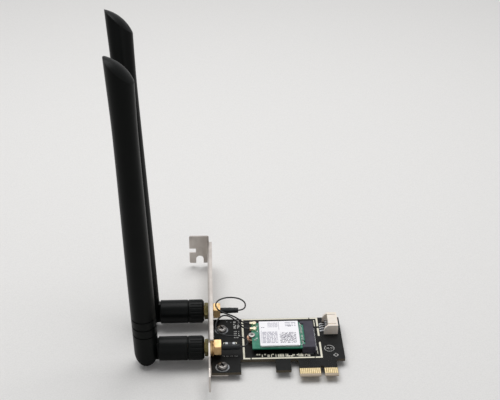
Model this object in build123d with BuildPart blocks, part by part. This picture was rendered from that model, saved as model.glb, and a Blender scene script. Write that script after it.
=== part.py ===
"""A wireless network card for a desktop computer's expansion slot, with two hinged antennas.

The board lies component side up. Its edge connector points to -Y, the metal bracket stands
across its -X end, and the antennas stand up outside the bracket.
The origin is on the component face, at the tip of the edge connector, in line with the key notch.
+X runs from the bracket along the board, +Y from the connector's tip to the bracket's tab, +Z off the board.
All lengths are in millimetres.
"""
import os
from math import cos, pi, radians, sin, sqrt, tan

from build123d import *

os.makedirs("parts", exist_ok=True)

# Circuit board
board_thickness = 1.57
board_gap = 0.49
board_right = 13.0
board_back = 48.8
board_front = 12.6
middle_front = 13.35
foot_right = -42.8
foot_front = 3.2
board_corner = 0.6

# Edge connector
key_width = 1.9
key_depth = 7.5
contact_pitch = 1.0
contact_width = 0.7
contact_back = 5.5
contact_margin = 0.65
contact_inset = 0.05
contacts_before_key = 11
contacts_after_key = 7
first_contact = 1.5
plating = 0.04
bevel_length = 1.15
bevel_depth = 0.42

# Retaining hook beside the connector
hook_left = -24.4
hook_right = -16.3
hook_front = 4.2
hook_slot_back = 13.3
hook_slot_radius = 2.0
shoulder_fillet = 0.8

# Bracket, a folded steel sheet
sheet = 0.86
bend_inside = 0.4
bracket_inner = -58.89
bracket_low = -4.42
bracket_width = 18.42
bracket_tip = -11.54
bracket_length = 120.02
tongue_width = 10.19
tongue_length = 7.0
tab_width = 19.05
tab_rise = 2.54
tab_reach = 11.66
tab_corner = 1.0
screw_notch_width = 4.42
screw_notch_centre = -64.4
screw_notch_top = 3.3
side_slot_low = 5.5
side_slot_height = 3.0
side_slot_depth = 3.85
lip_width = 2.65
lip_start = 13.66
lip_gap = 2.18
lip_relief = 2.6
lip_relief_depth = 2.4
foot_width = 8.6
foot_length = 9.6
window_clearance = 0.4

# Fasteners that hold the board to the bracket
board_screw_x = -52.6
board_screw_y = (7.7, 39.2)
screw_radius = 1.45
screw_clearance = 0.15
screw_head_radius = 2.9
screw_head_height = 1.9
screw_length = 4.4
recess_width = 0.9
recess_span = 3.4
recess_depth = 1.1
recess_taper = 12
screw_turn = 20
screw_crown = 1.05

# Radio module
module_length = 30.0
module_width = 22.0
module_thickness = 0.8
module_left = -36.3
module_front = 18.4
module_height = 2.6
module_key_width = 1.2
module_key_depth = 3.5
module_key_offset = 5.6
half_hole_radius = 1.75
can_left = -32.2
can_front = 19.1
can_length = 21.7
can_width = 21.2
can_height = 1.3
can_wall = 0.2
can_corner = 0.6
label_margin = 0.25
label_thickness = 0.1
chip_size = 9.0
chip_height = 0.9

# Standoff and module screw
standoff_radius = 2.75
standoff_bore = 1.1
standoff_shank = 1.5
standoff_chamfer = 0.25
module_screw_head = 1.9
module_screw_head_height = 1.0
module_screw_length = 2.2
module_screw_crown = 0.45
module_screw_turn = 35
module_recess_span = 1.7
module_recess_width = 0.5
module_recess_depth = 0.6

# Module socket
socket_left = -7.8
socket_right = -2.4
socket_width = 22.9
socket_height = 4.2
socket_arm = 1.6
socket_arm_width = 2.6
socket_slot_clearance = 0.05
socket_chamfer = 0.2
socket_lead_pitch = 0.5
socket_lead_width = 0.22
socket_lead_length = 0.9
socket_lead_thickness = 0.15
socket_lead_margin = 2.0

# Antenna sockets on the module, their plugs and cables
coax_x = -34.7
coax_y = {"front": 34.5, "rear": 39.2}
coax_socket_size = 2.0
coax_socket_height = 0.35
coax_pin_radius = 0.2
coax_pin_height = 0.7
coax_plug_radius = 1.2
coax_plug_height = 1.05
coax_plug_wall = 0.2
coax_plug_edge = 0.15
coax_tail = 2.5
coax_tail_width = 1.5
cable_diameter = 0.81

# Bulkhead jacks
jack_y = {"front": 18.49, "rear": 50.72}
thread_radius = 3.17
jack_hole_clearance = 0.1
jack_hex = 8.0
jack_hex_length = 3.7
hex_chamfer = 0.35
jack_hex_turn = 21
outer_nut_turn = 51
jack_bore = 2.3
jack_bore_depth = 6.0
crimp_radius = 1.35
crimp_length = 6.0
insulator_length = 5.0
centre_pin_radius = 0.45
centre_pin_proud = 1.6
flat_washer_thickness = 1.1
washer_radius = 4.5
lock_washer_teeth = 14
lock_tooth_length = 1.0
lock_tooth_width = 0.9
lock_tooth_twist = 15
lock_washer_depth = 1.0
outer_nut_thickness = 2.1
sleeve_radius = 1.6
sleeve_end = -43.0
sleeve_crown = 0.7

# Antenna coupling
antenna_radius = 6.5
running_gap = 0.15
knob_length = 8.6
knob_chamfer = 1.1
knob_back_fillet = 0.5
knob_grooves = 20
groove_radius = 0.45
knob_groove_depth = 0.27
coupling_radius = 4.6
thread_clearance = 0.05
coupling_back = 1.8
knob_back_wall = 0.5
plug_flange_radius = 3.0
plug_flange = 1.0
plug_seat_gap = 0.2
plug_neck_radius = 2.2
plug_hub_radius = 4.0
plug_hub_length = 5.0
plug_pin_clearance = 0.35
barrel_gap = 0.3

# Antenna barrel, hinge and rod
hinge_x = -92.8
barrel_clearance = 0.2
barrel_edge = 0.4
tongue_thickness = 5.4
tongue_radius = 5.2
tongue_root = 1.0
tongue_clearance = 0.4
fork_clearance = 0.15
hinge_pin_radius = 1.5
hinge_pin_length = 9.4
hinge_pin_clearance = 0.05
rod_length = 164.3
rod_straight = 40.0
rod_waist_radius = 6.15
rod_waist_drop = 38.3
rod_head_radius = 6.95
rod_head_flare = 0.01
rod_top_slope = 38.6
rod_top_radius = 20.5
rod_top_cross_radius = 10.0
rod_bore = 4.9
rod_bore_start = 12.0
rod_end_wall = 16.3
lead_hole_radius = 1.5
grip_heights = (11.3, 16.3, 21.4)
grip_width = 0.8
grip_depth = 0.35
sleeve_dipole_radius = 2.4
sleeve_dipole_length = 34.0
whip_radius = 0.6
whip_end_gap = 14.0

# How each antenna stands: turned about the barrel's axis, and leaning out from upright
swivel = {"front": -0.8, "rear": -15.5}
lean = {"front": 2.0, "rear": 3.7}

# Four-way side-entry header
header_centre = 39.75
header_width = 12.15
header_mouth = 11.15
header_depth = 5.3
header_height = 5.8
header_wall = 0.9
header_floor = 0.8
header_back_wall = 1.0
header_wing = 2.4
header_wing_width = 1.2
header_wing_low = 1.0
header_groove = 0.5
header_groove_offset = 4.1
header_groove_depth = 0.35
header_groove_length = 4.4
header_pitch = 2.0
header_pins = 4
pin_size = 0.5
pin_tip_inset = 1.2
pin_bend_gap = 1.0
pin_foot_end = 2.4

# Surface-mount part beside the front jack
chip_part_centre = (-48.1, 26.6)
chip_part_length = 5.2
chip_part_width = 2.0
chip_part_height = 0.8
chip_terminal = 1.3

# Largest miss allowed when an edge or a vertex is picked by its place
near = 0.01

# Places that follow from the sizes above
bracket_outer = bracket_inner - sheet
bracket_high = bracket_low + bracket_width
bracket_end = bracket_tip + bracket_length
lip_end = bracket_end - lip_gap
axis_z = bracket_low + bracket_width / 2
tab_low = bracket_low + tab_rise
tab_high = tab_low + tab_width
tab_left = bracket_inner - tab_reach
board_left = bracket_inner + board_gap
board_under = -board_thickness
tongue_left = -(first_contact + (contacts_before_key - 1) * contact_pitch + contact_margin)
tongue_right = first_contact + (contacts_after_key - 1) * contact_pitch + contact_margin
module_under = module_height
module_top = module_height + module_thickness
module_middle = module_front + module_width / 2
can_top = module_top + can_height
hex_outer_face = bracket_inner + flat_washer_thickness + lock_washer_depth
hex_inner_face = hex_outer_face + jack_hex_length
nut_outer_face = bracket_outer - outer_nut_thickness
knob_right = nut_outer_face - running_gap
knob_left = knob_right - knob_length
coupling_left = knob_left + knob_back_wall
flange_left = coupling_left + coupling_back + thread_clearance
jack_outer_end = flange_left + plug_flange + plug_seat_gap
barrel_right = knob_left - barrel_gap
barrel_left = hinge_x + antenna_radius + barrel_clearance
rod_bore_end = rod_length - rod_end_wall
whip_start = rod_bore_start + sleeve_dipole_length
header_back = header_mouth - header_depth
pin_height = (header_height - header_wall + header_floor) / 2


def facing_x(x, y=0.0, z=0.0, turn=0.0):
    """A plane square to X, with its own x along Y, turned about an axis along X."""
    return Plane(origin=(x, y, z), x_dir=(0, cos(radians(turn)), sin(radians(turn))), z_dir=(1, 0, 0))


def turned(x, y, z, angle):
    """A direction turned about X."""
    c, s = cos(radians(angle)), sin(radians(angle))
    return (x, y * c - z * s, y * s + z * c)


def at(value, target):
    """Whether a coordinate is at a place, near enough."""
    return abs(value - target) < near


def hexagon(start, length, y, turn):
    """A hexagonal collar along a jack's axis, its corners chamfered at both ends."""
    flat = jack_hex / 2
    corner = jack_hex / sqrt(3)
    end = start + length
    with BuildPart() as collar:
        with BuildSketch(facing_x(start, y, axis_z)):
            RegularPolygon(flat, 6, major_radius=False, rotation=turn)
        extrude(amount=length)
        with BuildSketch(Plane.XY.offset(axis_z)):
            with BuildLine():
                Polyline(
                    (start, y),
                    (start, y + corner - hex_chamfer),
                    (start + hex_chamfer, y + corner),
                    (end - hex_chamfer, y + corner),
                    (end, y + corner - hex_chamfer),
                    (end, y),
                    close=True,
                )
            make_face()
        revolve(axis=Axis((start, y, axis_z), (1, 0, 0)), mode=Mode.INTERSECT)
    return collar.part


# Board outline, one loop from the foot beside the bracket
outline = [
    (board_left, foot_front),
    (foot_right, foot_front),
    (foot_right, middle_front),
    (hook_left, middle_front),
    (hook_left, hook_front),
    (hook_right, hook_front),
    (hook_right, hook_slot_back),
    (tongue_left, hook_slot_back),
    (tongue_left, 0),
    (tongue_right, 0),
    (tongue_right, board_front),
    (board_right, board_front),
    (board_right, board_back),
    (board_left, board_back),
]
with BuildPart() as board:
    with BuildSketch(Plane.XY.offset(board_under)) as board_face:
        with BuildLine():
            Polyline(*outline, close=True)
        make_face()
        fillet([v for v in board_face.vertices() if at(v.Y, hook_slot_back)], hook_slot_radius)
        fillet([v for v in board_face.vertices() if at(v.X, board_right)], board_corner)
        shoulder_corner = [v for v in board_face.vertices() if at(v.X, tongue_right) and at(v.Y, board_front)]
        fillet(shoulder_corner, shoulder_fillet)
        with Locations((0, key_depth / 2 - key_width / 2)):
            Rectangle(key_width, key_depth, mode=Mode.SUBTRACT)
        with Locations((0, key_depth - key_width / 2)):
            Circle(key_width / 2, mode=Mode.SUBTRACT)
        with Locations(*[(board_screw_x, y) for y in board_screw_y]):
            Circle(screw_radius + screw_clearance, mode=Mode.SUBTRACT)
        with Locations((module_left, module_middle)):
            Circle(standoff_shank, mode=Mode.SUBTRACT)
    extrude(amount=board_thickness)
    # The tip is bevelled on both faces, so that it slides into its socket
    with BuildSketch(Plane.YZ.offset(tongue_left)):
        with BuildLine():
            Polyline((0, 0), (bevel_length, 0), (0, -bevel_depth), close=True)
        make_face()
        with BuildLine():
            bevel_top = board_under + bevel_depth
            Polyline((0, board_under), (bevel_length, board_under), (0, bevel_top), close=True)
        make_face()
    extrude(amount=tongue_right - tongue_left, mode=Mode.SUBTRACT)
board.part.label = "board"
export_step(board.part, "parts/board.step")

# Gold contacts on both faces of the connector
contact_xs = [-first_contact - k * contact_pitch for k in range(contacts_before_key)]
contact_xs += [first_contact + k * contact_pitch for k in range(contacts_after_key)]
contact_front = bevel_length + contact_inset
with BuildPart() as edge_contacts:
    for face_z in (0.0, board_under - plating):
        with BuildSketch(Plane.XY.offset(face_z)):
            with Locations(*[(x, (contact_front + contact_back) / 2) for x in contact_xs]):
                Rectangle(contact_width, contact_back - contact_front)
        extrude(amount=plating)
edge_contacts.part.label = "edge_contacts"
export_step(edge_contacts.part, "parts/edge_contacts.step")

# Bracket: a strip with a tongue at its tip, a tab at its other end, a side lip and two board feet
tongue_low = axis_z - tongue_width / 2
tongue_high = axis_z + tongue_width / 2
taper = (bracket_width - tongue_width) / 2
shoulder = bracket_tip + tongue_length
lip_fold = bracket_high - sheet - bend_inside
strip = [
    (bracket_tip, tongue_low),
    (shoulder, tongue_low),
    (shoulder + taper, bracket_low),
    (bracket_end - 2 * sheet - tab_rise, bracket_low),
    (bracket_end - 2 * sheet, tab_low),
    (bracket_end, tab_low),
    (bracket_end, bracket_high),
    (lip_end + sheet, bracket_high),
    (lip_end + sheet, lip_fold),
    (lip_start, lip_fold),
    (lip_start, bracket_high - lip_relief_depth),
    (lip_start - lip_relief, bracket_high - lip_relief_depth),
    (lip_start - lip_relief, bracket_high),
    (shoulder + taper, bracket_high),
    (shoulder, tongue_high),
    (bracket_tip, tongue_high),
]
window_width = foot_width + window_clearance
with BuildPart() as bracket:
    with BuildSketch(facing_x(bracket_outer)):
        with BuildLine():
            Polyline(*strip, close=True)
        make_face()
        with Locations(*[(y, axis_z) for y in jack_y.values()]):
            Circle(thread_radius + jack_hole_clearance, mode=Mode.SUBTRACT)
        with Locations(*[(y, board_under + foot_length / 2) for y in board_screw_y]):
            Rectangle(window_width, foot_length, mode=Mode.SUBTRACT)
    extrude(amount=sheet)
    # Tab with the notch for the case's screw and a side slot
    notch_radius = screw_notch_width / 2
    with BuildSketch(Plane.XZ.offset(-bracket_end)) as tab:
        with Locations(((tab_left + bracket_inner) / 2, (tab_low + tab_high) / 2)):
            Rectangle(bracket_inner - tab_left, tab_width)
        fillet(tab.vertices().group_by(Axis.X)[0], tab_corner)
        with Locations((screw_notch_centre, screw_notch_top - notch_radius)):
            Circle(notch_radius, mode=Mode.SUBTRACT)
        with Locations((screw_notch_centre, (tab_low + screw_notch_top - notch_radius) / 2)):
            Rectangle(screw_notch_width, screw_notch_top - notch_radius - tab_low, mode=Mode.SUBTRACT)
        with Locations((tab_left + side_slot_depth / 2, side_slot_low + side_slot_height / 2)):
            Rectangle(side_slot_depth, side_slot_height, mode=Mode.SUBTRACT)
    extrude(amount=sheet)
    # Side lip, folded off the strip's upper edge
    outside = sheet + bend_inside
    lip_right = bracket_outer + lip_width
    with BuildSketch(Plane.XZ.offset(-lip_end)):
        with BuildLine():
            RadiusArc((bracket_outer, lip_fold), (bracket_outer + outside, bracket_high), outside)
            Line((bracket_outer + outside, bracket_high), (lip_right, bracket_high))
            Line((lip_right, bracket_high), (lip_right, bracket_high - sheet))
            Line((lip_right, bracket_high - sheet), (bracket_inner + bend_inside, bracket_high - sheet))
            inner_corner = (bracket_inner + bend_inside, bracket_high - sheet)
            RadiusArc(inner_corner, (bracket_inner, lip_fold), -bend_inside)
            Line((bracket_inner, lip_fold), (bracket_outer, lip_fold))
        make_face()
    extrude(amount=lip_end - lip_start)
    # Feet under the board, lanced out of the strip
    with BuildSketch(Plane.XY.offset(board_under)) as feet:
        with Locations(*[(bracket_outer + (sheet + foot_length) / 2, y) for y in board_screw_y]):
            Rectangle(sheet + foot_length, foot_width)
        fillet(feet.vertices().group_by(Axis.X)[-1], tab_corner)
        with Locations(*[(board_screw_x, y) for y in board_screw_y]):
            Circle(screw_radius + screw_clearance, mode=Mode.SUBTRACT)
    extrude(amount=-sheet)
    # The tab and the feet bend with a small radius inside and a larger one outside
    upright = bracket.edges().filter_by(Axis.Z)
    across = [e for e in bracket.edges().filter_by(Axis.Y) if e.length < window_width]
    outer_bends = [e for e in upright if at(e.center().X, bracket_inner) and at(e.center().Y, bracket_end)]
    outer_bends += [e for e in across if at(e.center().X, bracket_outer) and at(e.center().Z, board_under)]
    fillet(outer_bends, sheet + bend_inside - near)
    tab_under, foot_low = bracket_end - sheet, board_under - sheet
    upright = bracket.edges().filter_by(Axis.Z)
    across = [e for e in bracket.edges().filter_by(Axis.Y) if e.length < window_width]
    inner_bends = [e for e in upright if at(e.center().X, bracket_outer) and at(e.center().Y, tab_under)]
    inner_bends += [e for e in across if at(e.center().X, bracket_inner) and at(e.center().Z, foot_low)]
    fillet(inner_bends, bend_inside)
bracket.part.label = "bracket"
export_step(bracket.part, "parts/bracket.step")

# Two pan-head cross-recessed screws
with BuildPart() as board_screws:
    with BuildSketch(Plane.XY):
        with Locations(*[(board_screw_x, y) for y in board_screw_y]):
            Circle(screw_head_radius)
    extrude(amount=screw_head_height)
    fillet(board_screws.edges().group_by(Axis.Z)[-1], screw_crown)
    with BuildSketch(Plane.XY.offset(screw_head_height)):
        with Locations(*[(board_screw_x, y) for y in board_screw_y]):
            Rectangle(recess_span, recess_width, rotation=screw_turn)
            Rectangle(recess_width, recess_span, rotation=screw_turn)
    extrude(amount=-recess_depth, taper=recess_taper, mode=Mode.SUBTRACT)
    with BuildSketch(Plane.XY):
        with Locations(*[(board_screw_x, y) for y in board_screw_y]):
            Circle(screw_radius)
    extrude(amount=-screw_length)
board_screws.part.label = "board_screws"
export_step(board_screws.part, "parts/board_screws.step")

# Radio module: a small board with a half hole at one end and contact fingers at the other
module_right = module_left + module_length
with BuildPart() as module_board:
    with BuildSketch(Plane.XY.offset(module_under)):
        with Locations((module_left + module_length / 2, module_middle)):
            Rectangle(module_length, module_width)
        with Locations((module_left, module_middle)):
            Circle(half_hole_radius, mode=Mode.SUBTRACT)
        with Locations((module_right - module_key_depth / 2, module_middle - module_key_offset)):
            Rectangle(module_key_depth, module_key_width, mode=Mode.SUBTRACT)
    extrude(amount=module_thickness)
module_board.part.label = "module_board"
export_step(module_board.part, "parts/module_board.step")

# Pressed can over the radio, open underneath
can_centre = (can_left + can_length / 2, can_front + can_width / 2)
with BuildPart() as module_can:
    with BuildSketch(Plane.XY.offset(module_top)):
        with Locations(can_centre):
            RectangleRounded(can_length, can_width, can_corner)
    extrude(amount=can_height)
    fillet(module_can.edges().group_by(Axis.Z)[-1], can_wall)
    with BuildSketch(Plane.XY.offset(module_top)):
        with Locations(can_centre):
            RectangleRounded(can_length - 2 * can_wall, can_width - 2 * can_wall, can_corner - can_wall)
    extrude(amount=can_height - can_wall, mode=Mode.SUBTRACT)
module_can.part.label = "module_can"
export_step(module_can.part, "parts/module_can.step")

with BuildPart() as module_label:
    with BuildSketch(Plane.XY.offset(can_top)):
        with Locations(can_centre):
            label_corner = can_corner - label_margin
            RectangleRounded(can_length - 2 * label_margin, can_width - 2 * label_margin, label_corner)
    extrude(amount=label_thickness)
module_label.part.label = "module_label"
export_step(module_label.part, "parts/module_label.step")

with BuildPart() as radio_chip:
    with BuildSketch(Plane.XY.offset(module_top)):
        with Locations(can_centre):
            Rectangle(chip_size, chip_size)
    extrude(amount=chip_height)
radio_chip.part.label = "radio_chip"
export_step(radio_chip.part, "parts/radio_chip.step")

# Standoff under the module's free end, and the screw that holds the module to it
with BuildPart() as standoff:
    with BuildSketch(Plane.XY):
        with Locations((module_left, module_middle)):
            Circle(standoff_radius)
    extrude(amount=module_under)
    chamfer(standoff.edges().group_by(Axis.Z)[-1], standoff_chamfer)
    with BuildSketch(Plane.XY):
        with Locations((module_left, module_middle)):
            Circle(standoff_shank)
    extrude(amount=board_under)
    with BuildSketch(Plane.XY.offset(board_under)):
        with Locations((module_left, module_middle)):
            Circle(standoff_bore)
    extrude(amount=board_thickness + module_under, mode=Mode.SUBTRACT)
standoff.part.label = "standoff"
export_step(standoff.part, "parts/standoff.step")

with BuildPart() as module_screw:
    with BuildSketch(Plane.XY.offset(module_top)):
        with Locations((module_left, module_middle)):
            Circle(module_screw_head)
    extrude(amount=module_screw_head_height)
    fillet(module_screw.edges().group_by(Axis.Z)[-1], module_screw_crown)
    with BuildSketch(Plane.XY.offset(module_top + module_screw_head_height)):
        with Locations((module_left, module_middle)):
            Rectangle(module_recess_span, module_recess_width, rotation=module_screw_turn)
            Rectangle(module_recess_width, module_recess_span, rotation=module_screw_turn)
    extrude(amount=-module_recess_depth, taper=recess_taper, mode=Mode.SUBTRACT)
    with BuildSketch(Plane.XY.offset(module_top)):
        with Locations((module_left, module_middle)):
            Circle(standoff_bore - thread_clearance)
    extrude(amount=-(module_thickness + module_screw_length))
module_screw.part.label = "module_screw"
export_step(module_screw.part, "parts/module_screw.step")

# Module socket: a low housing with a slot for the module's fingers and an arm at each end
socket_slot_low = module_under - socket_slot_clearance
socket_slot_high = module_top + socket_slot_clearance
socket_centre = (socket_left + socket_right) / 2
arm_y = (socket_width - socket_arm_width) / 2
with BuildPart() as module_socket:
    with BuildSketch(Plane.XY):
        with Locations((socket_centre, module_middle)):
            Rectangle(socket_right - socket_left, socket_width)
        with Locations(
            (socket_left - socket_arm / 2, module_middle - arm_y),
            (socket_left - socket_arm / 2, module_middle + arm_y),
        ):
            Rectangle(socket_arm, socket_arm_width)
    extrude(amount=socket_height)
    chamfer(module_socket.edges().group_by(Axis.Z)[-1], socket_chamfer)
    with BuildSketch(Plane.XY.offset(socket_slot_low)):
        with Locations((module_right - module_length / 2 + socket_slot_clearance, module_middle)):
            Rectangle(module_length, module_width + 2 * socket_slot_clearance)
    extrude(amount=socket_slot_high - socket_slot_low, mode=Mode.SUBTRACT)
module_socket.part.label = "module_socket"
export_step(module_socket.part, "parts/module_socket.step")

# Solder leads along the socket's back
lead_count = round((socket_width - 2 * socket_lead_margin) / socket_lead_pitch)
with BuildPart() as socket_leads:
    with BuildSketch(Plane.XY):
        with Locations((socket_right + socket_lead_length / 2, module_middle)):
            with GridLocations(1, socket_lead_pitch, 1, lead_count):
                Rectangle(socket_lead_length, socket_lead_width)
    extrude(amount=socket_lead_thickness)
socket_leads.part.label = "socket_leads"
export_step(socket_leads.part, "parts/socket_leads.step")

# Antenna sockets on the module, and the snap-on plug over each
cable_z = module_top + coax_socket_height + coax_plug_height / 2
for side, y in coax_y.items():
    with BuildPart() as coax_socket:
        with BuildSketch(Plane.XY.offset(module_top)):
            with Locations((coax_x, y)):
                Rectangle(coax_socket_size, coax_socket_size)
        extrude(amount=coax_socket_height)
        with BuildSketch(Plane.XY.offset(module_top + coax_socket_height)):
            with Locations((coax_x, y)):
                Circle(coax_pin_radius)
        extrude(amount=coax_pin_height)
    coax_socket.part.label = f"coax_socket_{side}"
    export_step(coax_socket.part, f"parts/coax_socket_{side}.step")

    with BuildPart() as coax_plug:
        with BuildSketch(Plane.XY.offset(module_top + coax_socket_height)):
            with Locations((coax_x, y)):
                Circle(coax_plug_radius)
            with Locations((coax_x - coax_tail / 2, y)):
                Rectangle(coax_tail, coax_tail_width)
        extrude(amount=coax_plug_height)
        fillet(coax_plug.edges().group_by(Axis.Z)[-1], coax_plug_edge)
        with BuildSketch(Plane.XY.offset(module_top + coax_socket_height)):
            with Locations((coax_x, y)):
                Circle(coax_plug_radius - coax_plug_wall)
        extrude(amount=coax_plug_height - coax_plug_wall, mode=Mode.SUBTRACT)
    coax_plug.part.label = f"coax_plug_{side}"
    export_step(coax_plug.part, f"parts/coax_plug_{side}.step")

# Bulkhead jacks through the bracket, each with its washers, nut, insulator, pin and sleeve
for side, y in jack_y.items():
    jack_collar = hexagon(hex_outer_face, jack_hex_length, y, jack_hex_turn)
    with BuildPart() as jack:
        add(jack_collar)
        with BuildSketch(facing_x(jack_outer_end, y, axis_z)):
            Circle(thread_radius)
        extrude(amount=hex_outer_face - jack_outer_end)
        with BuildSketch(facing_x(hex_inner_face, y, axis_z)):
            Circle(crimp_radius)
        extrude(amount=crimp_length)
        with BuildSketch(facing_x(jack_outer_end, y, axis_z)):
            Circle(jack_bore)
        extrude(amount=jack_bore_depth, mode=Mode.SUBTRACT)
    jack.part.label = f"jack_{side}"
    export_step(jack.part, f"parts/jack_{side}.step")

    insulator_face = jack_outer_end + jack_bore_depth - insulator_length
    with BuildPart() as jack_insulator:
        with BuildSketch(facing_x(insulator_face, y, axis_z)):
            Circle(jack_bore)
            Circle(centre_pin_radius, mode=Mode.SUBTRACT)
        extrude(amount=insulator_length)
    jack_insulator.part.label = f"jack_insulator_{side}"
    export_step(jack_insulator.part, f"parts/jack_insulator_{side}.step")

    with BuildPart() as jack_pin:
        with BuildSketch(facing_x(insulator_face - centre_pin_proud, y, axis_z)):
            Circle(centre_pin_radius)
        extrude(amount=insulator_length + centre_pin_proud)
    jack_pin.part.label = f"jack_pin_{side}"
    export_step(jack_pin.part, f"parts/jack_pin_{side}.step")

    with BuildPart() as flat_washer:
        with BuildSketch(facing_x(bracket_inner, y, axis_z)):
            Circle(washer_radius)
            Circle(thread_radius + jack_hole_clearance, mode=Mode.SUBTRACT)
        extrude(amount=flat_washer_thickness)
    flat_washer.part.label = f"flat_washer_{side}"
    export_step(flat_washer.part, f"parts/flat_washer_{side}.step")

    with BuildPart() as lock_washer:
        with BuildSketch(facing_x(bracket_inner + flat_washer_thickness, y, axis_z)):
            Circle(washer_radius - lock_tooth_length / 2)
            with PolarLocations(washer_radius - lock_tooth_length / 2, lock_washer_teeth):
                Rectangle(lock_tooth_length, lock_tooth_width, rotation=lock_tooth_twist)
            Circle(thread_radius + jack_hole_clearance, mode=Mode.SUBTRACT)
        extrude(amount=lock_washer_depth)
    lock_washer.part.label = f"lock_washer_{side}"
    export_step(lock_washer.part, f"parts/lock_washer_{side}.step")

    nut_blank = hexagon(nut_outer_face, outer_nut_thickness, y, outer_nut_turn)
    with BuildPart() as jack_nut:
        add(nut_blank)
        with BuildSketch(facing_x(nut_outer_face, y, axis_z)):
            Circle(thread_radius + thread_clearance)
        extrude(amount=outer_nut_thickness, mode=Mode.SUBTRACT)
    jack_nut.part.label = f"jack_nut_{side}"
    export_step(jack_nut.part, f"parts/jack_nut_{side}.step")

    with BuildPart() as cable_sleeve:
        with BuildSketch(facing_x(hex_inner_face, y, axis_z)):
            Circle(sleeve_radius)
        extrude(amount=sleeve_end - hex_inner_face)
        with BuildSketch(facing_x(hex_inner_face, y, axis_z)):
            Circle(crimp_radius)
        extrude(amount=crimp_length, mode=Mode.SUBTRACT)
        fillet(cable_sleeve.edges().group_by(Axis.X)[-1], sleeve_crown)
    cable_sleeve.part.label = f"cable_sleeve_{side}"
    export_step(cable_sleeve.part, f"parts/cable_sleeve_{side}.step")

# Cable routes, from each jack's sleeve in a loose double bend to its plug
cable_route = {
    "front": [
        (sleeve_end, jack_y["front"], axis_z),
        (-40.9, 18.5, 4.79),
        (-38.9, 20.3, 4.8),
        (-38.6, 23.6, 4.8),
        (-40.9, 26.4, 4.8),
        (-45.3, 27.6, 4.8),
        (-50.4, 27.9, 5.0),
        (-54.8, 29.5, 5.8),
        (-56.2, 33.1, 7.2),
        (-54.9, 37.4, 8.7),
        (-51.6, 40.6, 9.5),
        (-47.6, 40.0, 8.7),
        (-44.4, 37.9, 7.2),
        (-41.7, 35.6, 5.2),
        (-39.7, 34.5, 4.28),
        (coax_x - coax_tail, coax_y["front"], cable_z),
    ],
    "rear": [
        (sleeve_end, jack_y["rear"], axis_z),
        (-40.8, 50.8, 4.9),
        (-38.9, 52.5, 5.5),
        (-39.0, 55.3, 6.7),
        (-41.7, 56.9, 8.1),
        (-46.0, 56.3, 9.7),
        (-50.6, 54.2, 11.0),
        (-54.6, 50.5, 11.9),
        (-55.9, 46.1, 11.7),
        (-53.9, 42.8, 10.8),
        (-50.0, 41.5, 9.6),
        (-46.1, 41.2, 8.1),
        (-42.6, 40.3, 6.1),
        (-39.8, 39.2, 4.28),
        (coax_x - coax_tail, coax_y["rear"], cable_z),
    ],
}
arc_share = 0.45
for side, route in cable_route.items():
    corners = [Vector(*point) for point in route]
    runs = [after - before for before, after in zip(corners, corners[1:])]
    radii = []
    for before, after in zip(runs, runs[1:]):
        half_turn = radians(before.get_angle(after)) / 2
        radii.append(arc_share * min(before.length, after.length) / tan(half_turn))
    print(f"cable_{side} radii", [round(radius, 1) for radius in radii])
    with BuildPart() as cable:
        with BuildLine() as cable_path:
            FilletPolyline(*corners, radius=radii)
        with BuildSketch(Plane(origin=corners[0], z_dir=runs[0])):
            Circle(cable_diameter / 2)
        sweep(path=cable_path.line)
    path_length = sum(edge.length for edge in cable_path.line.edges())
    tube_ratio = cable.part.volume / (path_length * pi * cable_diameter**2 / 4)
    print(f"cable_{side} length {path_length:.2f} volume against section times length {tube_ratio:.4f}")
    cable.part.label = f"cable_{side}"
    export_step(cable.part, f"parts/cable_{side}.step")

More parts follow.
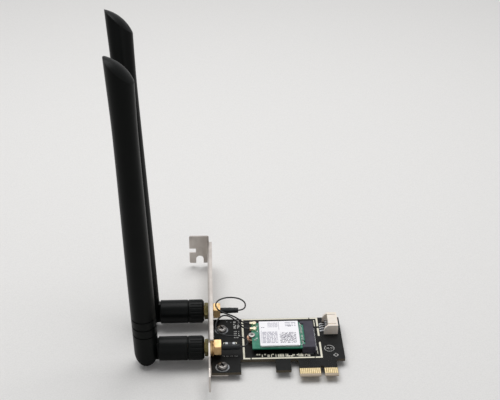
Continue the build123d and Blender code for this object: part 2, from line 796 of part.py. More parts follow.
# Antennas
for side, y in jack_y.items():
    turn = swivel[side]
    hinge = (hinge_x, y, axis_z)
    rod_axis = turned(-sin(radians(lean[side])), 0, cos(radians(lean[side])), turn)
    rod_inner = turned(cos(radians(lean[side])), 0, sin(radians(lean[side])), turn)
    rod_side = turned(0, -1, 0, turn)
    rod_plane = Plane(origin=hinge, x_dir=rod_inner, z_dir=rod_axis)
    fold_plane = Plane(origin=hinge, x_dir=rod_inner, z_dir=rod_side)
    barrel_plane = Plane(origin=hinge, x_dir=(1, 0, 0), z_dir=rod_side)

    # Grip shell of the coupling, with flutes and a chamfered end
    with BuildPart() as knob:
        with BuildSketch(facing_x(knob_left, y, axis_z, turn)):
            Circle(antenna_radius)
        extrude(amount=knob_length)
        chamfer(knob.edges().group_by(Axis.X)[-1], knob_chamfer)
        fillet(knob.edges().group_by(Axis.X)[0], knob_back_fillet)
        with BuildSketch(facing_x(knob_left + knob_chamfer, y, axis_z, turn)):
            with PolarLocations(antenna_radius + groove_radius - knob_groove_depth, knob_grooves):
                Circle(groove_radius)
        extrude(amount=knob_length, mode=Mode.SUBTRACT)
        with BuildSketch(facing_x(coupling_left, y, axis_z)):
            Circle(coupling_radius)
        extrude(amount=knob_length, mode=Mode.SUBTRACT)
        with BuildSketch(facing_x(knob_left, y, axis_z)):
            Circle(plug_neck_radius + thread_clearance)
        extrude(amount=knob_length, mode=Mode.SUBTRACT)
    knob.part.label = f"knob_{side}"
    export_step(knob.part, f"parts/knob_{side}.step")

    # Threaded metal nut inside the grip shell
    with BuildPart() as coupling_nut:
        with BuildSketch(facing_x(coupling_left, y, axis_z)):
            Circle(coupling_radius)
        extrude(amount=knob_right - coupling_left)
        with BuildSketch(facing_x(coupling_left + coupling_back, y, axis_z)):
            Circle(thread_radius + thread_clearance)
        extrude(amount=knob_length, mode=Mode.SUBTRACT)
        with BuildSketch(facing_x(coupling_left, y, axis_z)):
            Circle(plug_neck_radius + thread_clearance)
        extrude(amount=knob_length, mode=Mode.SUBTRACT)
    coupling_nut.part.label = f"coupling_nut_{side}"
    export_step(coupling_nut.part, f"parts/coupling_nut_{side}.step")

    # Plug body, fixed in the barrel, which the coupling turns around
    with BuildPart() as plug_body:
        with BuildSketch(facing_x(flange_left, y, axis_z)):
            Circle(plug_flange_radius)
        extrude(amount=plug_flange)
        with BuildSketch(facing_x(barrel_right, y, axis_z)):
            Circle(plug_neck_radius)
        extrude(amount=flange_left - barrel_right)
        with BuildSketch(facing_x(barrel_right - plug_hub_length, y, axis_z)):
            Circle(plug_hub_radius)
        extrude(amount=plug_hub_length)
        with BuildSketch(facing_x(flange_left, y, axis_z)):
            Circle(centre_pin_radius + plug_pin_clearance)
        extrude(amount=plug_flange, mode=Mode.SUBTRACT)
    plug_body.part.label = f"plug_body_{side}"
    export_step(plug_body.part, f"parts/plug_body_{side}.step")

    # Barrel with the flat tongue that the rod's fork turns on
    with BuildPart() as barrel:
        with BuildSketch(facing_x(barrel_left, y, axis_z, turn)):
            Circle(antenna_radius)
        extrude(amount=barrel_right - barrel_left)
        fillet(barrel.edges(), barrel_edge)
        with BuildSketch(facing_x(barrel_right - plug_hub_length, y, axis_z)):
            Circle(plug_hub_radius)
        extrude(amount=plug_hub_length, mode=Mode.SUBTRACT)
        with BuildSketch(barrel_plane):
            Circle(tongue_radius)
            with Locations(((barrel_left - hinge_x + tongue_root) / 2, 0)):
                Rectangle(barrel_left - hinge_x + tongue_root, 2 * tongue_radius)
        extrude(amount=tongue_thickness / 2, both=True)
        with BuildSketch(barrel_plane):
            Circle(hinge_pin_radius)
        extrude(amount=tongue_thickness, both=True, mode=Mode.SUBTRACT)
    barrel.part.label = f"barrel_{side}"
    export_step(barrel.part, f"parts/barrel_{side}.step")

    with BuildPart() as hinge_pin:
        with BuildSketch(barrel_plane):
            Circle(hinge_pin_radius)
        extrude(amount=hinge_pin_length / 2, both=True)
    hinge_pin.part.label = f"hinge_pin_{side}"
    export_step(hinge_pin.part, f"parts/hinge_pin_{side}.step")

    # What the rod's slanted top is cut away with: a block, hollowed by a barrel shape that crowns the top
    rod_reach = rod_length + rod_head_radius * tan(radians(rod_top_slope))
    far = 4 * antenna_radius
    crown_x = -rod_top_radius * sin(radians(rod_top_slope))
    crown_height = rod_length - rod_top_radius * cos(radians(rod_top_slope))
    crown_centre = fold_plane.from_local_coords((crown_x, crown_height, 0))
    crown_side = (rod_head_radius + rod_top_cross_radius) / 2
    crown_edge = rod_top_radius - rod_top_cross_radius + sqrt(rod_top_cross_radius**2 - crown_side**2)
    with BuildPart() as rod_top_waste:
        with BuildSketch(fold_plane):
            with Locations((0, crown_height + far)):
                Rectangle(2 * far, 2 * far)
        extrude(amount=far, both=True)
        with BuildSketch(Plane(origin=crown_centre, x_dir=rod_axis, z_dir=rod_inner)):
            with BuildLine():
                Line((0, -crown_side), (crown_edge, -crown_side))
                ThreePointArc((crown_edge, -crown_side), (rod_top_radius, 0), (crown_edge, crown_side))
                Line((crown_edge, crown_side), (0, crown_side))
                Line((0, crown_side), (0, -crown_side))
            make_face()
        revolve(axis=Axis(crown_centre, rod_side), mode=Mode.SUBTRACT)

    # Rod: a round moulding with a slight waist, a slanted top and a rounded fork at its foot
    waist_height = rod_length - rod_waist_drop
    fork_slot = tongue_thickness / 2 + fork_clearance
    slot_radius = tongue_radius + tongue_clearance
    with BuildPart() as rod:
        with BuildSketch(fold_plane):
            with BuildLine():
                Line((0, -antenna_radius), (antenna_radius, -antenna_radius))
                Line((antenna_radius, -antenna_radius), (antenna_radius, rod_straight))
                Spline(
                    (antenna_radius, rod_straight),
                    (rod_waist_radius, waist_height),
                    tangents=[(0, 1), (0, 1)],
                )
                Spline(
                    (rod_waist_radius, waist_height),
                    (rod_head_radius, rod_reach),
                    tangents=[(0, 1), (rod_head_flare, 1)],
                )
                Line((rod_head_radius, rod_reach), (0, rod_reach))
                Line((0, rod_reach), (0, -antenna_radius))
            make_face()
        revolve(axis=Axis(hinge, rod_axis))
        add(rod_top_waste.part, mode=Mode.SUBTRACT)
        with BuildSketch(fold_plane):
            with Locations((0, -antenna_radius)):
                Rectangle(far, 2 * antenna_radius)
            Circle(antenna_radius, mode=Mode.SUBTRACT)
        extrude(amount=far, both=True, mode=Mode.SUBTRACT)
        for height in grip_heights:
            with BuildSketch(rod_plane.offset(height - grip_width / 2)):
                Circle(far)
                Circle(antenna_radius - grip_depth, mode=Mode.SUBTRACT)
            extrude(amount=grip_width, mode=Mode.SUBTRACT)
        with BuildSketch(fold_plane):
            Circle(slot_radius)
            with Locations((far / 2, (slot_radius - far) / 2)):
                Rectangle(far, far + slot_radius)
            with Locations((0, -far / 2)):
                Rectangle(2 * slot_radius, far)
        extrude(amount=fork_slot, both=True, mode=Mode.SUBTRACT)
        with BuildSketch(fold_plane):
            Circle(hinge_pin_radius + hinge_pin_clearance)
        extrude(amount=hinge_pin_length / 2 + hinge_pin_clearance, both=True, mode=Mode.SUBTRACT)
        with BuildSketch(rod_plane.offset(rod_bore_start)):
            Circle(rod_bore)
        extrude(amount=rod_bore_end - rod_bore_start, mode=Mode.SUBTRACT)
        with BuildSketch(rod_plane):
            Circle(lead_hole_radius)
        extrude(amount=rod_bore_start, mode=Mode.SUBTRACT)
    rod.part.label = f"rod_{side}"
    export_step(rod.part, f"parts/rod_{side}.step")

    # Radiator inside the rod: a sleeve seated on the bore's floor, a whip above it and its lead below
    with BuildPart() as radiator:
        with BuildSketch(rod_plane.offset(rod_bore_start)):
            Circle(sleeve_dipole_radius)
        extrude(amount=sleeve_dipole_length)
        with BuildSketch(rod_plane.offset(whip_start)):
            Circle(whip_radius)
        extrude(amount=rod_bore_end - whip_end_gap - whip_start)
        with BuildSketch(rod_plane.offset(slot_radius)):
            Circle(whip_radius)
        extrude(amount=rod_bore_start - slot_radius)
    radiator.part.label = f"radiator_{side}"
    export_step(radiator.part, f"parts/radiator_{side}.step")

# Header housing: a box with a mouth towards +X and two curved wings behind it
header_low = header_centre - header_width / 2
with BuildPart() as header_housing:
    with BuildSketch(Plane.XY):
        with Locations(((header_back + header_mouth) / 2, header_centre)):
            Rectangle(header_depth, header_width)
    extrude(amount=header_height)
    with BuildSketch(facing_x(header_mouth, header_centre, 0)):
        with Locations((0, header_floor + (header_height - header_wall - header_floor) / 2)):
            Rectangle(header_width - 2 * header_wall, header_height - header_wall - header_floor)
    extrude(amount=-(header_depth - header_back_wall), mode=Mode.SUBTRACT)
    wing_rise = header_height - header_wing_low
    for wing_front in (header_low, header_low + header_width - header_wing_width):
        with BuildSketch(Plane.XZ.offset(-wing_front)):
            with BuildLine():
                Line((header_back, header_height), (header_back, 0))
                Line((header_back, 0), (header_back - header_wing, 0))
                Line((header_back - header_wing, 0), (header_back - header_wing, header_wing_low))
                wing_foot = (header_back - header_wing, header_wing_low)
                RadiusArc(wing_foot, (header_back, header_height), wing_rise)
            make_face()
        extrude(amount=-header_wing_width)
    with BuildSketch(Plane.XY.offset(header_height)):
        with Locations(
            (header_back + header_groove_length / 2, header_centre - header_groove_offset),
            (header_back + header_groove_length / 2, header_centre + header_groove_offset),
        ):
            Rectangle(header_groove_length, header_groove)
    extrude(amount=-header_groove_depth, mode=Mode.SUBTRACT)
    with BuildSketch(facing_x(header_back, header_centre, pin_height)):
        with GridLocations(header_pitch, 1, header_pins, 1):
            Rectangle(pin_size, pin_size)
    extrude(amount=header_back_wall, mode=Mode.SUBTRACT)
header_housing.part.label = "header_housing"
export_step(header_housing.part, "parts/header_housing.step")

# Header pins: through the back wall, down to the board and out along it
pin_bend = header_back - pin_bend_gap
with BuildPart() as header_pins_part:
    for k in range(header_pins):
        pin_y = header_centre + (k - (header_pins - 1) / 2) * header_pitch
        with BuildSketch(Plane.XZ.offset(-(pin_y - pin_size / 2))):
            with BuildLine():
                Polyline(
                    (header_mouth - pin_tip_inset, pin_height - pin_size / 2),
                    (header_mouth - pin_tip_inset, pin_height + pin_size / 2),
                    (pin_bend - pin_size, pin_height + pin_size / 2),
                    (pin_bend - pin_size, pin_size),
                    (pin_foot_end, pin_size),
                    (pin_foot_end, 0),
                    (pin_bend, 0),
                    (pin_bend, pin_height - pin_size / 2),
                    close=True,
                )
            make_face()
        extrude(amount=-pin_size)
header_pins_part.part.label = "header_pins"
export_step(header_pins_part.part, "parts/header_pins.step")

# Surface-mount part: a body between two terminals
chip_x, chip_y = chip_part_centre
with BuildPart() as chip_part_body:
    with BuildSketch(Plane.XY):
        with Locations(chip_part_centre):
            Rectangle(chip_part_length - 2 * chip_terminal, chip_part_width)
    extrude(amount=chip_part_height)
chip_part_body.part.label = "chip_part_body"
export_step(chip_part_body.part, "parts/chip_part_body.step")

terminal_x = (chip_part_length - chip_terminal) / 2
with BuildPart() as chip_part_ends:
    with BuildSketch(Plane.XY):
        with Locations((chip_x - terminal_x, chip_y), (chip_x + terminal_x, chip_y)):
            Rectangle(chip_terminal, chip_part_width)
    extrude(amount=chip_part_height)
chip_part_ends.part.label = "chip_part_ends"
export_step(chip_part_ends.part, "parts/chip_part_ends.step")
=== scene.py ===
# %% [markdown]
# A wireless network card, dressed for its portrait.
# The solids of the card are finished elsewhere and arrive as a fixed frame: this lesson gives
# them their finishes, adds what is too fine or too soft for a solid, and sets up the studio.
# Everything is in metres, in the card's own frame: +X runs from the bracket along the board,
# +Y from the edge connector to the bracket's tab, and +Z points off the component face.

# %% Load the frame
import math
import random

import bpy
from mathutils import Matrix, Vector, noise


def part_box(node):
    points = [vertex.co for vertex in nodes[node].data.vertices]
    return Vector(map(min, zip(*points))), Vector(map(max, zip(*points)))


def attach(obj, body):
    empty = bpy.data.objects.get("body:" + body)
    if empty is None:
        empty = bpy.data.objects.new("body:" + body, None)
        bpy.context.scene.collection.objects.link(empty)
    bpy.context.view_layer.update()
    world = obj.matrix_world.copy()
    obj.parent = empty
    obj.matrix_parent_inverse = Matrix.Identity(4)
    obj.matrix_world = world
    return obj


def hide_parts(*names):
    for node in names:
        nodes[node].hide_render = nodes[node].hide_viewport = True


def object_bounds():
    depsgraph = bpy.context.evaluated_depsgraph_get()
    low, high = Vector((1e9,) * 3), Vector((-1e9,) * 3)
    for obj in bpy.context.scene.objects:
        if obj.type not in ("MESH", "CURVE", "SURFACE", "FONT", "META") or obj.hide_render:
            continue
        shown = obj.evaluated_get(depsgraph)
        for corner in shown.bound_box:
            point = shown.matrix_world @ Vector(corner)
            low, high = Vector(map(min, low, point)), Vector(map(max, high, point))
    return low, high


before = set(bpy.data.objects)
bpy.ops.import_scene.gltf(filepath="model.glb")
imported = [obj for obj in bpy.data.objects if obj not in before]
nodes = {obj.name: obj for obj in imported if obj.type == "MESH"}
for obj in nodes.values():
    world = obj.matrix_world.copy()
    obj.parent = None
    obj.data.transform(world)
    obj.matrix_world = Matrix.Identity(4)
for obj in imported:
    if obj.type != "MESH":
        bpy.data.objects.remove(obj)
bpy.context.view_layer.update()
scene = bpy.context.scene
MM = 0.001

# %% [markdown]
# The camera. The photograph was taken from in front and above, with a long lens.
# Its place was worked out from the bracket and the edge connector, whose sizes are standard,
# so a lens given by its focal length in pixels and three angles repeats the view.
# The picture is 500 pixels wide, and Blender's default sensor is 36 mm wide.

# %% Camera
PICTURE_WIDTH = 500
FOCAL_PIXELS = 1115.0
CAMERA_PLACE_MM = (-57.40, -448.01, 381.20)
CAMERA_PITCH, CAMERA_AZIMUTH, CAMERA_ROLL = (math.radians(a) for a in (31.386, -2.373, 0.275))

forward = Vector((
    -math.sin(CAMERA_AZIMUTH) * math.cos(CAMERA_PITCH),
    math.cos(CAMERA_AZIMUTH) * math.cos(CAMERA_PITCH),
    -math.sin(CAMERA_PITCH),
))
level_right = Vector((math.cos(CAMERA_AZIMUTH), math.sin(CAMERA_AZIMUTH), 0))
level_up = level_right.cross(forward)
right = level_right * math.cos(CAMERA_ROLL) + level_up * math.sin(CAMERA_ROLL)
up = level_up * math.cos(CAMERA_ROLL) - level_right * math.sin(CAMERA_ROLL)
camera_turn = Matrix((right, up, -forward)).transposed().to_4x4()

camera_data = bpy.data.cameras.new("camera")
camera_data.lens = FOCAL_PIXELS / PICTURE_WIDTH * camera_data.sensor_width
camera = bpy.data.objects.new("camera", camera_data)
camera.matrix_world = Matrix.Translation(Vector(CAMERA_PLACE_MM) * MM) @ camera_turn
scene.collection.objects.link(camera)
scene.camera = camera
scene.view_settings.view_transform = "Standard"
print("lens", round(camera_data.lens, 2), "mm")

# %% [markdown]
# Colours are written as the hex codes that a paint chart or an image editor shows.
# Blender's shaders want linear light instead, so one function turns a code into linear values.
# A second small function adds one node with its settings, values and links, and a third starts
# a material from its shader's main values. Every finish below is built from these three.

# %% Colour and node helpers
def linear(code):
    channels = [int(code[k:k + 2], 16) / 255 for k in (1, 3, 5)]
    curve = [c / 12.92 if c <= 0.04045 else ((c + 0.055) / 1.055) ** 2.4 for c in channels]
    return (*curve, 1.0)


def add(tree, kind, values=None, links=None, **settings):
    node = tree.nodes.new(kind)
    for key, value in settings.items():
        setattr(node, key, value)
    for socket, value in (values or {}).items():
        node.inputs[socket].default_value = value
    for socket, source in (links or {}).items():
        tree.links.new(source, node.inputs[socket])
    return node


def start_material(name, colour, roughness, metallic=0.0, ior=None, **more):
    material = bpy.data.materials.new(name)
    material.use_nodes = True
    shader = material.node_tree.nodes["Principled BSDF"]
    shader.inputs["Base Color"].default_value = linear(colour)
    shader.inputs["Roughness"].default_value = roughness
    shader.inputs["Metallic"].default_value = metallic
    if ior:
        shader.inputs["IOR"].default_value = ior
    for socket, value in more.items():
        shader.inputs[socket.replace("_", " ")].default_value = value
    print("finish:", name)
    return material, material.node_tree, shader


# %% [markdown]
# Two patterns come back in many finishes: a noise of a given grain, and a colour that drifts
# between two shades. The scale of a noise in object space is one over the grain in metres,
# so a grain is written in millimetres and turned into a scale here. Most finishes are the same
# recipe: the colour drifts with a coarse cloud, and a fine grain sets roughness and relief.

# %% Grain, drift and the usual surface
def scale_of(grain_mm):
    return 1 / (grain_mm * MM)


def grain(tree, size_mm, detail=3.0, stretch=(1, 1, 1)):
    place = add(tree, "ShaderNodeTexCoord")
    mapping = add(tree, "ShaderNodeMapping", {"Scale": stretch},
                  {"Vector": place.outputs["Object"]})
    texture = add(tree, "ShaderNodeTexNoise", {"Scale": scale_of(size_mm), "Detail": detail},
                  {"Vector": mapping.outputs["Vector"]})
    return texture.outputs["Fac"]


def drift(tree, factor, dark, light, low=0.3, high=0.7):
    ramp = add(tree, "ShaderNodeValToRGB", links={"Fac": factor})
    for end, position, code in zip(ramp.color_ramp.elements, (low, high), (dark, light)):
        end.position = position
        end.color = linear(code)
    return ramp.outputs["Color"]


def surface(name, light, dark, roughness, fine, cloud=None, ends=(0.3, 0.7), spread=None,
            depth_mm=None, strength=0.5, **more):
    """A finish from a fine grain and a cloud, each given as its size in mm, detail and stretch."""
    material, tree, shader = start_material(name, light, roughness, **more)
    skin = grain(tree, *fine)
    shade = grain(tree, *cloud) if cloud else skin
    tree.links.new(drift(tree, shade, dark, light, *ends), shader.inputs["Base Color"])
    if spread:
        limits = {"To Min": roughness + spread[0], "To Max": roughness + spread[1]}
        uneven = add(tree, "ShaderNodeMapRange", limits, {"Value": skin})
        tree.links.new(uneven.outputs["Result"], shader.inputs["Roughness"])
    if depth_mm:
        bump = add(tree, "ShaderNodeBump", {"Strength": strength, "Distance": depth_mm * MM},
                   {"Height": skin})
        tree.links.new(bump.outputs["Normal"], shader.inputs["Normal"])
    return material


# %% [markdown]
# The slot bracket is cold-rolled steel sheet with a dull nickel plate.
# Rolling leaves fine lines along the sheet, and plating leaves it slightly cloudy: lines about
# 0.15 mm apart and stretched along the strip in the roughness, and a cloud of some 6 mm in the
# colour. The board's screws are greyer, a painted dark reflection; the hinge pins are blackened.

# %% Nickel-plated rolled steel
def nickel_plated_steel(name, colour, cloud, roughness):
    return surface(name, colour, cloud, roughness, fine=(0.15, 3, (1, 0.03, 1)), cloud=(6, 4),
                   spread=(-0.1, 0.12), depth_mm=0.004, metallic=1.0)


bracket_steel = nickel_plated_steel("nickel_plated_steel", "#C9C3BD", "#B3ACA6", 0.38)
screw_steel = nickel_plated_steel("nickel_plated_screw_steel", "#C2BFBA", "#A5A29E", 0.24)
# The board's screws get darker shades: a painted dark reflection on their nickel heads.
screw_steel_painted_reflection = nickel_plated_steel("nickel_screw_steel_painted_reflection", "#8C8986", "#64615E", 0.24)
blackened_steel = nickel_plated_steel("blackened_steel", "#3A3B3D", "#2C2D2F", 0.35)

# %% [markdown]
# The board is glass-fibre laminate under a black solder mask: a thin, slightly glossy lacquer.
# The glass weave, about 0.5 mm from thread to thread, just shows through as a relief. It is
# too fine for the picture, so it is drawn three times as coarse: a wave texture has about three
# bands in each unit of its scale, and the scale is a tenth of the weave's own.
# Along the routed edges there is no mask, and the bare laminate is a brown grey on the board
# and green on the radio module, where a dark green also paints the shade on the module's sides.
# The face normal tells the two apart, because the edges are the faces that don't look straight
# up or down.
# The tip of the connector is ground to a bevel after routing, which leaves it pale and pinkish:
# it is the bare laminate within some millimetre of the tip. The mask also stops short of the
# contacts, so tan laminate shows between them. Lacquer this thin and matt reflects little, so
# its specular level is low.

# %% Solder mask on glass laminate
TIP_MM = 1.2
FINGERS_FROM_X_MM, FINGERS_TO_Y_MM = -12.3, 5.6
BETWEEN_FINGERS = "#8C7B58"
GROUND_TIP = ("#A0927F", "#C6B7A4")
FLAT_FACE = 0.95
WEAVE_MM, WEAVE_COARSENING = 0.5, 10
FACTOR, FIRST, SECOND, MIXED = 0, 6, 7, 2  # a Mix node's sockets when it mixes colours


def masked_laminate(name, mask, mask_light, edge, edge_light, roughness):
    material, tree, shader = start_material(name, mask, roughness, ior=1.52,
                                            Specular_IOR_Level=0.1)
    place = add(tree, "ShaderNodeTexCoord").outputs["Object"]
    weave_scale = scale_of(WEAVE_MM) / WEAVE_COARSENING
    threads = []
    for direction in ("X", "Y"):
        wave = add(tree, "ShaderNodeTexWave",
                   {"Scale": weave_scale, "Distortion": 0.6, "Detail": 1.0},
                   {"Vector": place}, bands_direction=direction)
        threads.append(wave.outputs["Fac"])
    weave = add(tree, "ShaderNodeMath", links={0: threads[0], 1: threads[1]}, operation="ADD")
    bump = add(tree, "ShaderNodeBump", {"Strength": 0.35, "Distance": 0.004 * MM},
               {"Height": weave.outputs["Value"]})
    tree.links.new(bump.outputs["Normal"], shader.inputs["Normal"])

    normal = add(tree, "ShaderNodeNewGeometry").outputs["True Normal"]
    facing = add(tree, "ShaderNodeSeparateXYZ", links={"Vector": normal})
    upright = add(tree, "ShaderNodeMath", links={0: facing.outputs["Z"]}, operation="ABSOLUTE")
    spot = add(tree, "ShaderNodeSeparateXYZ", links={"Vector": place})
    is_true = {}
    for test, measured, operation, limit in (
            ("beside", spot.outputs["X"], "GREATER_THAN", FINGERS_FROM_X_MM * MM),
            ("below", spot.outputs["Y"], "LESS_THAN", FINGERS_TO_Y_MM * MM),
            ("at tip", spot.outputs["Y"], "LESS_THAN", TIP_MM * MM),
            ("on edge", upright.outputs["Value"], "LESS_THAN", FLAT_FACE)):
        node = add(tree, "ShaderNodeMath", {1: limit}, {0: measured}, operation=operation)
        is_true[test] = node.outputs["Value"]
    between = add(tree, "ShaderNodeMath", links={0: is_true["beside"], 1: is_true["below"]},
                  operation="MULTIPLY")

    lacquer = drift(tree, grain(tree, 3, 4), mask, mask_light, high=0.75)
    fibres = grain(tree, 0.12, 2, (1, 1, 4))
    bare = drift(tree, fibres, edge, edge_light, low=0.35)
    ground = drift(tree, fibres, *GROUND_TIP)
    face = add(tree, "ShaderNodeMix", {SECOND: linear(BETWEEN_FINGERS)},
               {FACTOR: between.outputs["Value"], FIRST: lacquer}, data_type="RGBA")
    side = add(tree, "ShaderNodeMix",
               links={FACTOR: is_true["at tip"], FIRST: bare, SECOND: ground}, data_type="RGBA")
    both = add(tree, "ShaderNodeMix",
               links={FACTOR: is_true["on edge"], FIRST: face.outputs[MIXED],
                      SECOND: side.outputs[MIXED]}, data_type="RGBA")
    tree.links.new(both.outputs[MIXED], shader.inputs["Base Color"])
    return material


board_laminate = masked_laminate("black_solder_mask_on_laminate",
                                 "#111211", "#1A1A1A", "#38342D", "#6A6152", 0.42)
# The module's edge greens are dark: bare laminate, with painted shade on its sides.
module_laminate_shaded_sides = masked_laminate("green_solder_mask_on_laminate_painted_side_shade",
                                  "#357A64", "#5E9882", "#146048", "#22785E", 0.34)

# %% [markdown]
# The fingers of the edge connector are plated with hard gold, paler than jewellery, and each
# insertion scores them lengthwise. The jacks and nuts are turned brass with a warmer gold flash:
# the tool leaves rings about 0.1 mm apart. The outer nuts get a dark olive gold, painted shade
# where they sit between grip and bracket; the standoff has a copper tint, and the small coax
# plugs are the palest of all.
# A metal keeps the shader's own index of refraction.

# %% Gold plating
def gold_plate(name, colour, shade, roughness, lines_mm, stretch=(1, 1, 1)):
    return surface(name, colour, shade, roughness, fine=(lines_mm, 3, stretch), cloud=(2, 3),
                   spread=(-0.08, 0.1), depth_mm=0.003, metallic=1.0)


hard_gold = gold_plate("hard_gold_plate", "#DCCBA4", "#C6B186", 0.34, 0.08, (1, 0.05, 1))
turned_gold = gold_plate("gold_plated_turned_brass", "#DABB8B", "#C9A778", 0.5, 0.1,
                         (1, 0.06, 0.06))
# The outer nuts' dark olive gold is painted shade, the same gold as the jacks in shadow.
gold_painted_shade = gold_plate("gold_on_brass_painted_shade", "#857C55", "#565032", 0.36, 0.4)
standoff_gold = gold_plate("copper_tinted_brass", "#DDB9A2", "#BA927A", 0.3, 0.2)
plug_gold = gold_plate("gold_plated_bronze", "#FFF5DA", "#F0E3C2", 0.26, 0.2)

# %% [markdown]
# Tin shows up as solder, leads and the pressed can over the radio: brighter and bluer than
# nickel, softly mirror-like, and uneven where it froze. On the board's bare lands and vias it
# has oxidised to a dull grey.

# %% Tin
def tin(name, colour, shade, roughness, grain_mm):
    return surface(name, colour, shade, roughness, fine=(grain_mm,), ends=(0.35, 0.65),
                   spread=(-0.08, 0.12), depth_mm=0.01, strength=0.4, metallic=1.0)


dull_tin = tin("oxidised_tin", "#8F9193", "#66686A", 0.4, 0.5)
solder_tin = tin("reflowed_tin_solder", "#DADCDD", "#BDBFC2", 0.26, 0.4)
can_steel = tin("tinned_steel_can", "#CFD1D2", "#BFC1C3", 0.32, 3)

# %% [markdown]
# The plastics differ in how they were made. The antennas are black ABS, moulded in a tool with
# a fine spark-eroded skin of about 0.15 mm that turns highlights into soft bands. The module's
# socket is dark liquid-crystal polymer with a dry look. The header is natural nylon, ivory and
# slightly see-through. The cable's jacket is extruded and smooth, and its sleeve is shrunk
# polyolefin, which stays a little rubbery. The chip's case is moulded epoxy. The capacitors'
# bodies are a ceramic, but one of even, fine grain, so the same recipe draws them.

# %% Moulded and extruded plastics
def moulded_plastic(name, dark, light, roughness, grain_mm, depth_mm, cloud_mm=8, **more):
    return surface(name, light, dark, roughness, fine=(grain_mm,), cloud=(cloud_mm, 3),
                   spread=(-0.05, 0.08), depth_mm=depth_mm, ior=1.5, **more)


antenna_abs = moulded_plastic("black_moulded_abs", "#050706", "#090B0A", 0.34, 0.15, 0.004,
                              Specular_IOR_Level=0.1)
socket_polymer = moulded_plastic("dark_liquid_crystal_polymer", "#3B3942", "#484650",
                                 0.5, 0.1, 0.005, 3, Specular_IOR_Level=0.2)
header_nylon = moulded_plastic("natural_nylon", "#E9DFD2", "#F3EADF", 0.42, 0.2, 0.004, 4,
                               Subsurface_Weight=0.15, Subsurface_Radius=(0.002, 0.0014, 0.001))
cable_jacket = moulded_plastic("extruded_cable_jacket", "#0F1012", "#17181B",
                               0.32, 0.3, 0.003, 5, Specular_IOR_Level=0.3)
shrunk_sleeve = moulded_plastic("shrunk_polyolefin", "#1B1D1F", "#26292B", 0.5, 0.4, 0.02, 2,
                                Specular_IOR_Level=0.2)
insulator_plastic = moulded_plastic("turned_fluoropolymer", "#ECEAE4", "#F6F5F1",
                                    0.4, 0.2, 0.004, 3)
chip_epoxy = moulded_plastic("moulded_epoxy", "#1E1E20", "#2A2A2D", 0.55, 0.08, 0.006, 2)
pale_ceramic = moulded_plastic("sintered_ceramic", "#94A692", "#B4C3AE", 0.45, 0.1, 0.004, 1)

# %% [markdown]
# The label is a matt coated film. Its print, like the legend on the board, is a screen-printed
# or toner layer a few hundredths of a millimetre thick with a slightly broken edge. Here the
# layers are real, thin shapes, drawn as plain bars and fields with nothing to read in them.
# Cream ink is laid on thickly, and where it is thin the black below greys it.

# %% Film and inks
def matt_layer(name, dark, light, roughness, grain_mm):
    return surface(name, light, dark, roughness, fine=(grain_mm, 4), depth_mm=0.004,
                   strength=0.4, ior=1.48)


label_film = matt_layer("coated_label_film", "#F6F5FA", "#FFFEFF", 0.55, 0.3)
legend_ink = matt_layer("cream_legend_ink", "#DCD8C4", "#EFEBDA", 0.6, 0.15)
grey_ink = matt_layer("thin_legend_ink", "#9A9A98", "#C6C6C2", 0.6, 0.3)
pale_toner = matt_layer("pale_grey_toner", "#A2A0AC", "#B6B4C0", 0.6, 0.12)
dark_toner = matt_layer("mid_grey_toner", "#6C6A76", "#84828E", 0.6, 0.12)

# %% [markdown]
# Now the solids get their finishes. Each keeps its shape and place, and only the material in
# its slot changes. The list follows the pieces of the card, from the board out to the antennas.

# %% Finishes of the solids
SIDES = ("front", "rear")
finishes = {
    bracket_steel: ["bracket"],
    board_laminate: ["board"],
    hard_gold: ["edge_contacts"],
    screw_steel_painted_reflection: ["board_screws"],
    screw_steel: ["module_screw"],
    standoff_gold: ["standoff"],
    module_laminate_shaded_sides: ["module_board"],
    can_steel: ["module_can"],
    label_film: ["module_label"],
    chip_epoxy: ["radio_chip", "chip_part_body"],
    socket_polymer: ["module_socket"],
    solder_tin: ["socket_leads", "header_pins", "chip_part_ends"],
    header_nylon: ["header_housing"],
}
paired_finishes = {
    turned_gold: ["jack", "jack_pin", "flat_washer", "coupling_nut", "plug_body", "radiator"],
    gold_painted_shade: ["jack_nut"],
    plug_gold: ["coax_plug", "coax_socket"],
    insulator_plastic: ["jack_insulator"],
    antenna_abs: ["knob", "barrel", "rod"],
    blackened_steel: ["hinge_pin"],
}
for material, stems in paired_finishes.items():
    finishes[material] = [f"{stem}_{side}" for stem in stems for side in SIDES]
for material, names in finishes.items():
    for name in names:
        nodes[name].material_slots[0].material = material
print("finished solids:", sum(len(names) for names in finishes.values()))

# %% [markdown]
# The cables. Each is a thin coaxial lead with a black jacket, 0.81 mm across, that leaves its
# jack's sleeve, doubles back over the board and snaps onto the radio module. A free cable is
# best drawn as one smooth curve through few points: a NURBS spline of order 3 rounds every turn
# as a limp lead does, and a bevel gives it thickness. The points are the lead's own route.

# %% Cables
CABLE_MM = 0.81
CABLE_ROUTES_MM = {
    "front": [
        (-43.0, 18.49, 4.79), (-40.9, 18.5, 4.79), (-38.9, 20.3, 4.8), (-38.6, 23.6, 4.8),
        (-40.9, 26.4, 4.8), (-45.3, 27.6, 4.8), (-50.4, 27.9, 5.0), (-54.8, 29.5, 5.8),
        (-56.2, 33.1, 7.2), (-54.9, 37.4, 8.7), (-51.6, 40.6, 9.5), (-47.6, 40.0, 8.7),
        (-44.4, 37.9, 7.2), (-41.7, 35.6, 5.2), (-39.7, 34.5, 4.28), (-37.2, 34.5, 4.275),
    ],
    "rear": [
        (-43.0, 50.72, 4.79), (-40.8, 50.8, 4.9), (-38.9, 52.5, 5.5), (-39.0, 55.3, 6.7),
        (-41.7, 56.9, 8.1), (-46.0, 56.3, 9.7), (-50.6, 54.2, 11.0), (-54.6, 50.5, 11.9),
        (-55.9, 46.1, 11.7), (-53.9, 42.8, 10.8), (-50.0, 41.5, 9.6), (-46.1, 41.2, 8.1),
        (-42.6, 40.3, 6.1), (-39.8, 39.2, 4.28), (-37.2, 39.2, 4.275),
    ],
}
